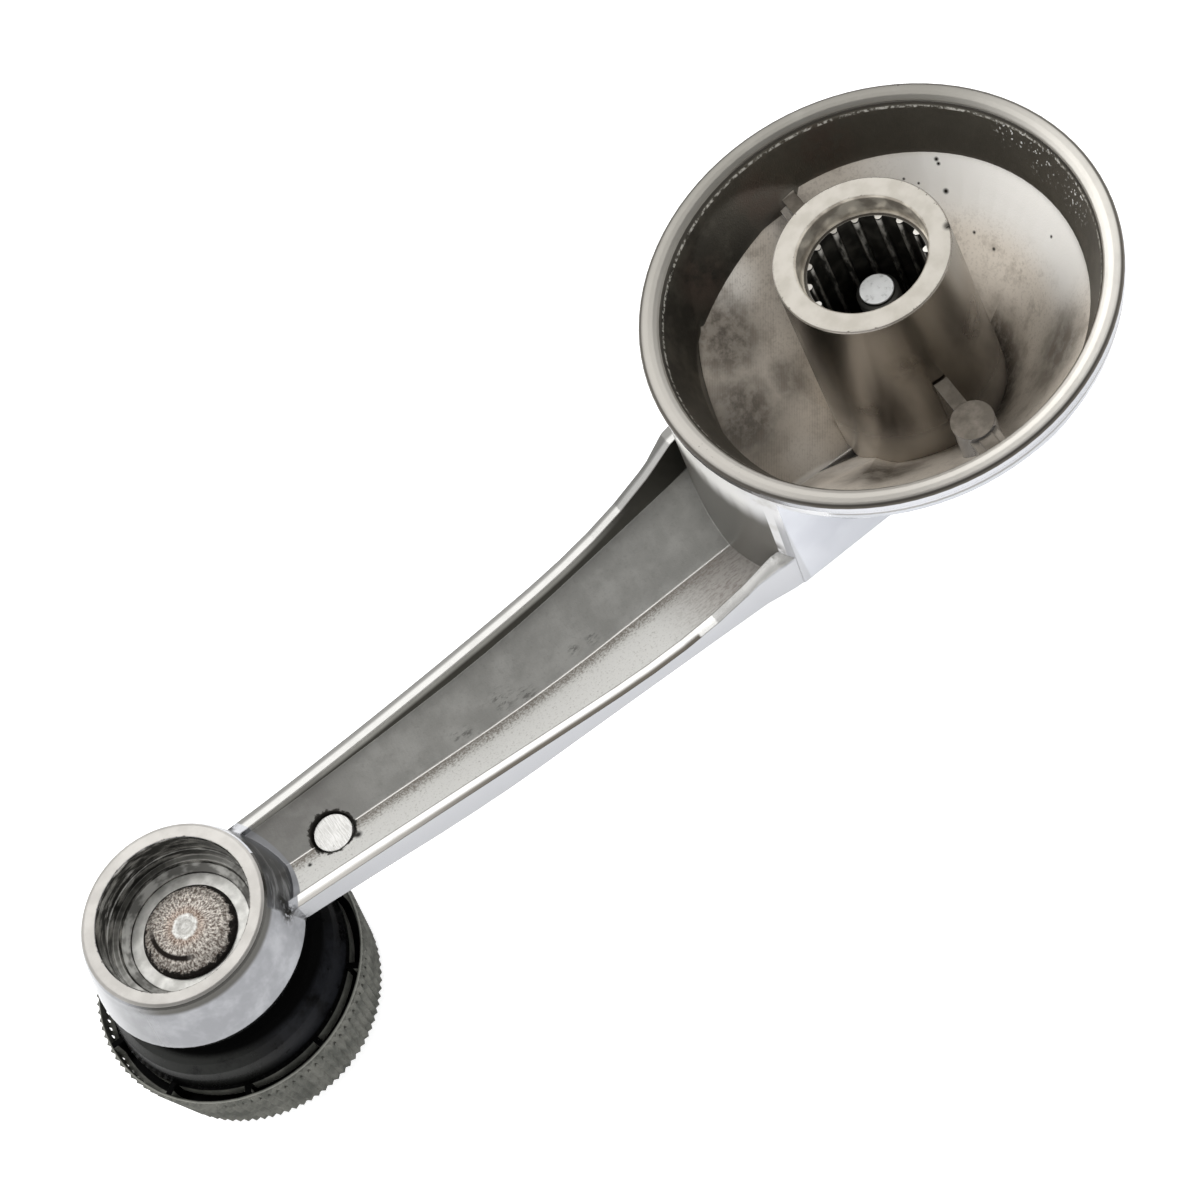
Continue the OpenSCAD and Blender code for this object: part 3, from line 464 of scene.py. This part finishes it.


# Knob ring: pale face with a ragged inner edge, a dark well streaked with painted reflection, a side
# with painted light and shade, and an end over the channel in painted shade.
def lay_ring(p, coat, smudge):
    z, nz = p.z, p.nz
    ring, around = p.radius(KNOB_X), p.angle(KNOB_X)
    face = nz.above(0.8, 0.95) * ring.below(11.3, 11.4) * z.above(RING_Z - 0.4, RING_Z - 0.3)
    well = ring.below(RING_R + 0.1, RING_R + 0.15) * z.below(RING_Z - 0.02, RING_Z + 0.02)
    well = well * z.above(RING_Z - 7.0, RING_Z - 6.8)
    outside = ring.above(10.9, 11.0) * ring.below(13.3, 13.4) * (1.0 - face) * p.x.above(80.0, 81.0)
    streak = p.noise(1.0, 3.0, 0.65, at=(around * 2.4, z * 1.1, 0.0))
    flake = p.noise(0.55, 3.0, 0.7)

    coat.lay(face, p.mix(srgb(182, 179, 174), srgb(194, 191, 186), smudge.above(0.35, 0.65)), 0.3, 1.0)
    # the side is painted lighter on one side and darker on the other, as light falls
    side = p.mix(srgb(180, 181, 184), srgb(130, 131, 134), around.above(-0.1, 0.5))
    coat.lay(outside, p.mix(side, srgb(164, 165, 168), smudge.above(0.4, 0.7) * 0.5))
    coat.lay(face * p.step(ring - 0.8 * flake, 8.95, 8.85), srgb(80, 76, 70), 0.6, 0.6)
    # the well's dark and pale streaks, and its paler upward faces, are painted reflection and light
    coat.lay(well, p.mix(srgb(60, 59, 56), srgb(190, 188, 183), streak.above(0.44, 0.66)), 0.2, 0.9)
    tone = p.mix(srgb(110, 109, 105), srgb(176, 175, 170), streak.above(0.4, 0.6))
    coat.lay(well * nz.above(0.5, 0.8), tone, 0.3)
    # painted highlights in patches in the well
    coat.lay(well * p.spots(*WELL_HIGHLIGHTS) * streak.above(0.45, 0.6), srgb(190, 189, 186), 0.3, 0.6)
    # painted shadow in a dark band below the face, on the camera's side
    shadow_band = outside * z.above(RING_Z - 1.6, RING_Z - 1.0) * around.above(0.45, 0.9)
    coat.lay(shadow_band, srgb(84, 83, 80), 0.25)
    # the end over the channel is painted shade, with streaks
    end = outside * p.nx.below(-0.72, -0.66) * abs(p.y).below(6.6, 6.9)
    end = end * z.below(RING_Z - 0.6, RING_Z - 0.4)
    coat.lay(end, p.mix(srgb(84, 85, 87), srgb(138, 139, 141), streak.above(0.5, 0.66)), 0.28, 0.9)
    # cracks and chips where the lips run into the ring
    coat.lay(p.spots(*RING_CHIPS) * flake.above(0.4, 0.5), srgb(38, 37, 34), 0.6, 0.5)


# Ragged dirt in the open ring round the stud, and two pits beside it.
def lay_stud_dirt(p, coat):
    away = p.radius(STUD_X)
    ragged = p.noise(0.8, 3.0, 0.7)
    ring = p.step(away - 1.5 * (ragged - 0.42), STUD_R + 0.55, STUD_R + 0.3)
    ring = ring * away.above(STUD_R - 0.1, STUD_R)
    coat.lay(ring * p.z.above(-27.5, -27.0), srgb(50, 48, 44), 0.6, 0.6)
    coat.lay(p.spots(*STUD_PITS), srgb(34, 33, 30), 0.6, 0.5)


# Chrome plating on the die casting: bright outside, satin inside its hollows and toned there with
# painted shade and reflection.
def chromed_casting():
    p = Paint("chromed_casting")
    cloud = p.noise(9.0, 3.0)
    grain = p.noise(0.35, 3.0, 0.65)
    smudge = p.noise(3.2, 4.0, 0.6)
    outer = p.mix(srgb(188, 190, 195), srgb(178, 180, 186), cloud.above(0.4, 0.65))
    coat = Coat(p, outer, p.spread(cloud, 0.10, 0.18), 1.0, grain * 0.01, 0.22)
    lay_cup(p, coat, grain, smudge)
    lay_neck(p, coat, smudge)
    lay_arm(p, coat, smudge)
    lay_ring(p, coat, smudge)
    lay_stud_dirt(p, coat)
    return coat.finish()


# Boss sleeve: plated side with upright dark and light bands, machined pale mouth face, satin bore.
def chromed_sleeve():
    p = Paint("chromed_sleeve")
    hub = p.radius()
    face = p.nz.above(0.8, 0.95) * p.z.above(-0.6, -0.4)
    side = hub.above(BOSS_R - 0.4, BOSS_R - 0.35) * (1.0 - face)
    bore = (1.0 - side) * (1.0 - face)
    streak = p.noise(1.0, 3.0, 0.6, at=(p.angle() * 2.6, p.z * 0.07, 0.0))
    smudge = p.noise(2.6, 3.0)
    grain = p.noise(0.3, 3.0, 0.65)
    low = p.z.below(-27.0, -18.0)
    # the bands stand where the plating reflects the dark room and the dish
    turn = p.angle() + 0.25 * (streak - 0.5)
    bright = p.top(turn.near(0.87, 0.5), 0.7 * turn.near(-0.65, 0.35), 0.35 * turn.near(2.3, 0.4))
    tone = p.mix(srgb(136, 130, 121), srgb(168, 162, 154), bright)
    tone = p.mix(tone, srgb(152, 144, 133), streak.above(0.5, 0.75) * 0.4)
    tone = p.mix(tone, srgb(220, 210, 196), low * 0.6)
    coat = Coat(p, tone, 0.2 + 0.08 * streak, 1.0 - 0.7 * low, grain * 0.006)
    # dull brown smudges on the camera's side
    smudged = side * p.spots(*SLEEVE_SMUDGES) * smudge.above(0.35, 0.6)
    coat.lay(smudged * 0.4, srgb(80, 70, 60), 0.34)
    tone = p.mix(srgb(184, 179, 169), srgb(197, 192, 183), smudge.above(0.35, 0.65))
    coat.lay(face, tone, 0.42, 0.9, p.noise(0.7, 2.0) * 0.015)
    # nicks along both edges of the mouth face, and one larger chip
    nick = p.noise(0.45, 3.0, 0.7).above(0.6, 0.66)
    edges = p.top(hub.above(BOSS_R - 0.5, BOSS_R - 0.2), hub.below(7.5, 7.8))
    coat.lay(face * edges * nick, srgb(92, 86, 77), 0.5)
    coat.lay(p.spots(SLEEVE_CHIP) * nick.above(-0.5, 0.2), srgb(44, 40, 36), 0.6)
    coat.lay(bore, p.mix(srgb(160, 152, 140), srgb(212, 205, 191), smudge.above(0.4, 0.6)), 0.3, 0.6)
    return coat.finish()


# Splined bush: dark oiled steel, spline tips with painted highlight streaks and painted glints at their
# upper ends, and a painted highlight on the inner edge on top.
def splined_steel():
    p = Paint("splined_steel")
    hub = p.radius()
    oil = p.noise(1.5, 3.0)
    tone = p.mix(srgb(34, 33, 30), srgb(64, 62, 57), oil.above(0.4, 0.7))
    coat = Coat(p, tone, 0.26 + 0.16 * oil, 0.3, oil * 0.01, 0.12)
    streak = p.noise(1.0, 3.0, 0.7, at=(p.angle() * 9.0, p.z * 0.35, 0.0)).above(0.4, 0.62)
    tip = hub.below(6.35, 6.6) * p.z.below(BUSH_Z - 0.3, BUSH_Z - 0.2)
    # painted highlight streaks on the spline tips, and painted glints at their upper ends
    coat.lay(tip, p.mix(srgb(44, 43, 40), srgb(150, 147, 140), streak), 0.3, 0.2)
    coat.lay(tip * p.z.above(BUSH_Z - 1.7, BUSH_Z - 0.5), srgb(220, 217, 210), 0.25, 0.2)
    top = p.nz.above(0.8, 0.95)
    coat.lay(top, srgb(96, 92, 86), 0.3, 0.6)
    # painted highlight along the inner edge of the top
    coat.lay(top * hub.below(6.75, 6.85), srgb(236, 233, 226), 0.3, 0.3)
    return coat.finish()


# Retaining screw: zinc plated, with a bright pitted end that is greyer along its edge.
def zinc_screw():
    p = Paint("zinc_screw")
    end = p.z.above(SCREW_Z - 0.15, SCREW_Z - 0.05)
    pit = p.noise(0.7, 4.0, 0.7)
    tone = p.mix(srgb(120, 119, 116), srgb(214, 215, 214), end)
    tone = p.mix(tone, srgb(156, 156, 154), end * pit.above(0.55, 0.7) * 0.6)
    coat = Coat(p, tone, 0.34 + 0.25 * pit, 1.0, pit * 0.04, 0.1)
    coat.lay(end * p.radius().above(2.0, 2.1), srgb(128, 127, 124), 0.4)
    return coat.finish()


# Stud: ground end, brushed along the arm's width, with small pits.
def ground_steel():
    p = Paint("ground_steel")
    brush = p.noise(0.16, 3.0, 0.6, stretch=(1.0, 9.0, 1.0))
    pit = p.noise(0.5, 3.0, 0.7)
    tone = p.mix(srgb(206, 205, 201), srgb(246, 245, 242), brush.above(0.35, 0.65))
    coat = Coat(p, tone, 0.36 + 0.2 * brush, 0.9, brush * 0.02 + pit * 0.01, 0.12)
    coat.lay(pit.above(0.66, 0.74) * 0.6, srgb(150, 148, 142))
    return coat.finish()


# Washer on the knob axis, with fine turned lines.
def plated_washer(name, low, high):
    p = Paint(name)
    lines = p.noise(0.25, 2.0, 0.5, at=(p.radius(KNOB_X) * 6.0, p.angle(KNOB_X), 0.0))
    tone = p.mix(low, high, p.noise(1.8, 3.0).above(0.35, 0.7))
    return Coat(p, tone, 0.28 + 0.16 * lines, 0.9, lines * 0.008, 0.1).finish()


# Hammered head: dense radial wrinkles, a bright crater in the middle and a ragged dark edge.
def hammered_steel():
    p = Paint("hammered_steel")
    head, around = p.radius(KNOB_X), p.angle(KNOB_X)
    rays = p.noise(1.0, 2.0, 0.55, at=(around * 15.0, head * 1.7, 0.0))
    wrinkle = rays * 0.6 + p.noise(0.22, 1.0, 0.5) * 0.4
    grain = p.noise(0.28, 3.0, 0.7)
    ragged = p.noise(0.9, 3.0, 0.7) - 0.5
    crater = p.step(head + 0.9 * ragged, 1.75, 1.3)
    rust = p.step(head + 0.8 * ragged, 3.0, 1.6)
    edge = p.step(head + 1.8 * ragged, 5.0, 5.3)
    tone = p.mix(srgb(124, 113, 104), srgb(250, 243, 234), wrinkle.above(0.38, 0.64))
    coat = Coat(p, tone, 0.42 + 0.2 * grain, 0.85, wrinkle * 0.14 + grain * 0.03, 0.1)
    coat.lay(rust * 0.6, p.mix(srgb(124, 96, 78), srgb(214, 186, 166), wrinkle.above(0.4, 0.66)))
    # a second blow, a little off the middle, has left a step, drawn as a crescent of painted shade on
    # the side away from the arm
    blow = p.radius(KNOB_X - 0.6, -0.5)
    step_shadow = blow.near(4.5, 0.42) * around.above(-0.9, -0.3) * around.below(1.0, 1.5)
    coat.lay(step_shadow, srgb(46, 40, 36), 0.6)
    coat.lay(crater, p.mix(srgb(206, 204, 198), srgb(246, 245, 241), grain.above(0.36, 0.56)), 0.4, 0.5)
    coat.lay(crater * head.near(0.75, 0.3) * grain.above(0.4, 0.6) * 0.6, srgb(150, 146, 139), 0.5)
    coat.lay(edge, srgb(42, 38, 35), 0.65, 0.5, grain * 0.1)
    return coat.finish()


# Black knob: deep black with painted highlights and a faint sheen on the shoulder, and a worn grey knurl
# whose upper edge is painted palest.
def black_plastic(name):
    p = Paint(name)
    knob, around = p.radius(KNOB_X), p.angle(KNOB_X)
    dust = p.noise(2.6, 4.0, 0.65)
    grain = p.noise(0.25, 3.0, 0.7)
    outward = ((p.x - KNOB_X) * p.nx + p.y * p.ny).above(3.0, 5.0)
    knurled = knob.above(13.4, 13.6) * outward * p.z.below(KNOB_Z - 0.7, KNOB_Z - 0.5)
    rim = p.top(knob.above(KNOB_R - 1.35, KNOB_R - 1.25) * p.z.below(KNOB_Z, KNOB_Z + 0.1), knurled)
    coat = Coat(p, srgb(4, 4, 4), 0.22 + 0.12 * dust, 0.0, grain * 0.01, 0.15)
    shoulder = (knob - 0.45 * around).near(12.9, 1.3) * p.z.above(KNOB_Z + 0.2, KNOB_Z + 0.7)
    # painted highlights on the shoulder: grey low on one side, faintly bluish on the other
    coat.lay(shoulder * around.near(0.7, 0.9) * dust.above(0.2, 0.5), srgb(32, 33, 31), 0.26)
    coat.lay(shoulder * around.near(2.1, 0.8) * dust.above(0.3, 0.6), srgb(24, 25, 28), 0.4)
    tone = p.mix(srgb(84, 85, 80), srgb(112, 112, 106), dust.above(0.35, 0.65))
    coat.lay(rim, tone, 0.5, 0.0, grain * 0.01)
    # the knurl's upper edge is painted palest, as a highlight line
    worn = knob.above(KNOB_R - 0.6, KNOB_R - 0.5) * p.z.above(KNOB_Z - 0.25, KNOB_Z - 0.1)
    coat.lay(worn, srgb(132, 132, 126), 0.45)
    pit = p.noise(0.7, 1.0, 0.5).above(0.74, 0.77) * (1.0 - rim)
    coat.lay(pit, srgb(2, 2, 2), 0.7, 0.0)
    sheen = p.spread(shoulder * around.below(1.3, 2.2), 0.02, 0.2)
    p.put(sheen, p.shader.inputs["Specular IOR Level"])
    return coat.finish()


# Plain metal for the pieces that hardly show.
def plain_metal(name, low, high, rough):
    p = Paint(name)
    smudge = p.noise(1.6, 3.0)
    tone = p.mix(low, high, smudge.above(0.3, 0.7))
    return Coat(p, tone, rough + 0.15 * smudge, 1.0, p.noise(0.2, 3.0) * 0.01, 0.1).finish()


dress("crank_casting", chromed_casting())
dress("boss_sleeve", chromed_sleeve())
dress("spline_bush", splined_steel())
dress("retaining_screw", zinc_screw())
dress("arm_stud", ground_steel())
dress("rivet_washer", plated_washer("rivet_washer_steel", srgb(186, 185, 180), srgb(224, 223, 218)))
dress("thrust_washer", plated_washer("thrust_washer_steel", srgb(170, 168, 160), srgb(205, 203, 196)))
dress("knob_spindle", hammered_steel())
dress("knob_body", black_plastic("black_plastic"))
dress("knob_cap", black_plastic("black_cap_plastic"))
dress("knob_sleeve", plain_metal("turned_brass", srgb(186, 152, 84), srgb(212, 182, 112), 0.25))
spring = plain_metal("spring_steel", srgb(118, 116, 112), srgb(152, 150, 145), 0.3)
dress("wave_washer", spring)
dress("screw_lock_washer", spring)

# White paper under the part, which touches the front of the hub and the nose of the knob. Its place is
# in millimetres and its reach in metres.
FLOOR_TOUCH, FLOOR_SLOPE = (-10.2, 0, -33.85), 0.1154
FLOOR_REACH, FLOOR_CORNERS = 3.0, 64
PAPER, PAPER_GLOW = 0.81, 0.6


def make_floor():
    turns = [math.tau * i / FLOOR_CORNERS for i in range(FLOOR_CORNERS)]
    ring = [(FLOOR_REACH * math.cos(a), FLOOR_REACH * math.sin(a), 0) for a in turns]
    mesh = bpy.data.meshes.new("floor")
    mesh.from_pydata(ring, [], [list(range(FLOOR_CORNERS))])
    obj = bpy.data.objects.new("floor", mesh)
    tilt = Matrix.Rotation(math.atan(FLOOR_SLOPE), 4, "Y")
    obj.matrix_world = Matrix.Translation(Vector(FLOOR_TOUCH) * MM) @ tilt
    scene.collection.objects.link(obj)

    p = Paint("floor_paper")
    tree, shader = p.tree, p.shader
    shader.inputs["Base Color"].default_value = (PAPER, PAPER, PAPER, 1)
    shader.inputs["Roughness"].default_value = 0.9
    shader.inputs["Specular IOR Level"].default_value = 0.1
    shader.inputs["Emission Color"].default_value = (1, 1, 1, 1)
    # it glows for the camera and in reflections only, and lights nothing
    path = tree.nodes.new("ShaderNodeLightPath")
    seen = [Field(p, path.outputs[f"Is {kind} Ray"]) for kind in ("Camera", "Glossy", "Transmission")]
    p.put(p.top(*seen) * PAPER_GLOW, shader.inputs["Emission Strength"])
    # seen from below, the floor lets the view through
    face = tree.nodes.new("ShaderNodeNewGeometry")
    clear = tree.nodes.new("ShaderNodeBsdfTransparent")
    mix = tree.nodes.new("ShaderNodeMixShader")
    tree.links.new(face.outputs["Backfacing"], mix.inputs[0])
    tree.links.new(shader.outputs[0], mix.inputs[1])
    tree.links.new(clear.outputs[0], mix.inputs[2])
    tree.links.new(mix.outputs[0], tree.nodes["Material Output"].inputs["Surface"])
    mesh.materials.append(p.material)


# Soft studio: pale all round, with a duller patch overhead on the camera's side.
ROOM, PATCH = 0.95, 0.38
PATCH_AIM, PATCH_INNER, PATCH_OUTER = (0.02, 0.25, 0.97), math.radians(24), math.radians(58)
LAMP_AIM = (0.05, 0, -0.02)
# Name, place and size in metres, watts, and whether the plating mirrors it. The last two fill the
# hollows and don't show in the plating.
LAMPS = (("key", (-0.02, -0.60, 0.80), (0.7, 0.5), 1.2, True),
         ("fill", (0.35, -0.45, 0.80), (0.3, 0.3), 5.0, False),
         ("front", (0.15, 0.55, 0.45), (0.3, 0.3), 1.8, False))


def make_light():
    world = bpy.data.worlds.new("studio")
    scene.world = world
    world.use_nodes = True
    tree = world.node_tree
    coords = tree.nodes.new("ShaderNodeTexCoord")
    dot = tree.nodes.new("ShaderNodeVectorMath")
    dot.operation = "DOT_PRODUCT"
    dot.inputs[1].default_value = Vector(PATCH_AIM).normalized()
    tree.links.new(coords.outputs["Generated"], dot.inputs[0])
    patch = tree.nodes.new("ShaderNodeMapRange")
    patch.interpolation_type = "SMOOTHSTEP"
    patch.inputs["From Min"].default_value = math.cos(PATCH_OUTER)
    patch.inputs["From Max"].default_value = math.cos(PATCH_INNER)
    patch.inputs["To Min"].default_value = ROOM
    patch.inputs["To Max"].default_value = PATCH
    tree.links.new(dot.outputs["Value"], patch.inputs["Value"])
    tree.links.new(patch.outputs[0], tree.nodes["Background"].inputs["Strength"])
    tree.nodes["Background"].inputs["Color"].default_value = (1, 1, 1, 1)

    for name, place, size, watts, mirrored in LAMPS:
        light = bpy.data.lights.new(name, "AREA")
        light.shape = "RECTANGLE"
        light.size, light.size_y = size
        light.energy = watts
        obj = bpy.data.objects.new(name, light)
        scene.collection.objects.link(obj)
        obj.location = place
        obj.rotation_mode = "QUATERNION"
        obj.rotation_quaternion = (Vector(LAMP_AIM) - Vector(place)).to_track_quat("-Z", "Y")
        obj.visible_glossy = mirrored


# The camera was solved on the round edges of hub, boss, ring and knob in the photo. Its place is
# in millimetres.
CAMERA_PLACE = (66.9403, 210.0225, 308.8833)
CAMERA_RIGHT = (-0.7827536, 0.5481192, -0.2947239)
CAMERA_DOWN = (0.6196980, 0.6429694, -0.4500719)
CAMERA_AHEAD = (-0.0571946, -0.5349352, -0.8429550)
SENSOR, LENS, CLIP_START = 36, 104.262, 0.01


def make_camera():
    camera = bpy.data.cameras.new("camera")
    camera.sensor_width = SENSOR
    camera.lens = LENS
    camera.clip_start = CLIP_START
    obj = bpy.data.objects.new("camera", camera)
    scene.collection.objects.link(obj)
    turn = Matrix((Vector(CAMERA_RIGHT), -Vector(CAMERA_DOWN), -Vector(CAMERA_AHEAD))).transposed()
    obj.matrix_world = Matrix.Translation(Vector(CAMERA_PLACE) * MM) @ turn.to_4x4()
    scene.camera = obj


make_floor()
make_light()
make_camera()
